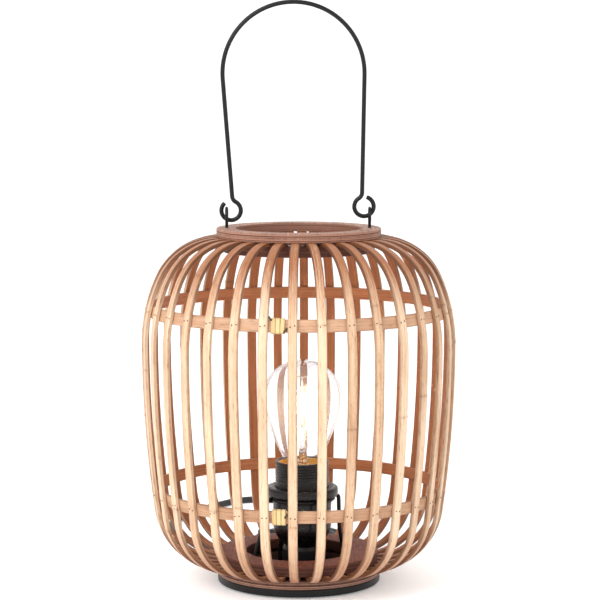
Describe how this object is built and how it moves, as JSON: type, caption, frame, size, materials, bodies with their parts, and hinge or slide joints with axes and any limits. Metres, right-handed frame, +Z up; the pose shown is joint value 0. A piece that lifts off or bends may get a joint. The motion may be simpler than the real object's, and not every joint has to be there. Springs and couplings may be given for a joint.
{
  "type": "table lamp",
  "caption": "Lantern-shaped table lamp: cage of bent bamboo ribs between wood rings on a black foot, bulb inside, swinging wire bail.",
  "frame": {"origin": "bottom centre of the foot pads", "axes": "+Z up, +Y towards the back where the cord leaves, +X to the right seen from the front"},
  "size_m": [0.2302, 0.4038, 0.4276],
  "materials": {
    "bamboo_rib": "satin bamboo strip",
    "bamboo_hoop": "satin bamboo strip",
    "ring_ply": "dark stained bamboo ply",
    "red_ply": "reddish bamboo ply",
    "top_ply": "pinkish brown bamboo ply",
    "rattan": "pale rattan",
    "black_metal": "black satin paint",
    "black_wire": "black satin paint",
    "black_holder": "black moulded plastic",
    "brass_contact": "brass contact",
    "clear_glass": "clear glass",
    "cap_brass": "brass screw cap",
    "filament": "lit filament rods on a glass post",
    "black_cord": "black round cord",
    "black_tie": "black tie",
    "black_plug": "black moulded plug",
    "rubber_pad": "rubber pad"
  },
  "bodies": {
    "lamp": {"rib_01": "bamboo_rib", "rib_02": "bamboo_rib", "rib_03": "bamboo_rib", "rib_04": "bamboo_rib", "rib_05": "bamboo_rib", "rib_06": "bamboo_rib", "rib_07": "bamboo_rib", "rib_08": "bamboo_rib", "rib_09": "bamboo_rib", "rib_10": "bamboo_rib", "rib_11": "bamboo_rib", "rib_12": "bamboo_rib", "rib_13": "bamboo_rib", "rib_14": "bamboo_rib", "rib_15": "bamboo_rib", "rib_16": "bamboo_rib", "rib_17": "bamboo_rib", "rib_18": "bamboo_rib", "rib_19": "bamboo_rib", "rib_20": "bamboo_rib", "rib_21": "bamboo_rib", "rib_22": "bamboo_rib", "rib_23": "bamboo_rib", "rib_24": "bamboo_rib", "rib_25": "bamboo_rib", "rib_26": "bamboo_rib", "rib_27": "bamboo_rib", "rib_28": "bamboo_rib", "rib_29": "bamboo_rib", "rib_30": "bamboo_rib", "rib_31": "bamboo_rib", "rib_32": "bamboo_rib", "rib_33": "bamboo_rib", "rib_34": "bamboo_rib", "foot_base": "black_metal", "foot_pads": "rubber_pad", "bottom_ring": "ring_ply", "bottom_inner_ring": "red_ply", "top_ring": "top_ply", "top_inner_ring": "red_ply", "upper_hoop": "bamboo_hoop", "lower_hoop": "bamboo_hoop", "hoop_bindings": "rattan", "bail_eyes": "black_wire", "lampholder_shell": "black_holder", "lampholder_dome": "black_holder", "shade_ring": "black_holder", "contact_insert": "brass_contact", "stem_column": "black_metal", "wire_frame": "black_wire", "cord_lead": "black_cord", "cord_coil": "black_cord", "cord_tail": "black_cord", "cord_tie": "black_tie", "plug": "black_plug", "strain_relief": "black_plug"},
    "bail": {"bail": "black_wire"},
    "bulb": {"bulb_glass": "clear_glass", "bulb_cap": "cap_brass", "bulb_filaments": "filament"}
  },
  "joints": [
    {"name": "bail_hinge", "type": "hinge", "parent": "lamp", "child": "bail", "pos_m": [0, 0, 0.27046], "axis": [0.9995, 0, 0.0327], "range_deg": [-95, 95]},
    {"name": "bulb_screw", "type": "slide", "parent": "lamp", "child": "bulb", "axis": [0, 0, 1], "range_m": [0, 0.205]}
  ]
}
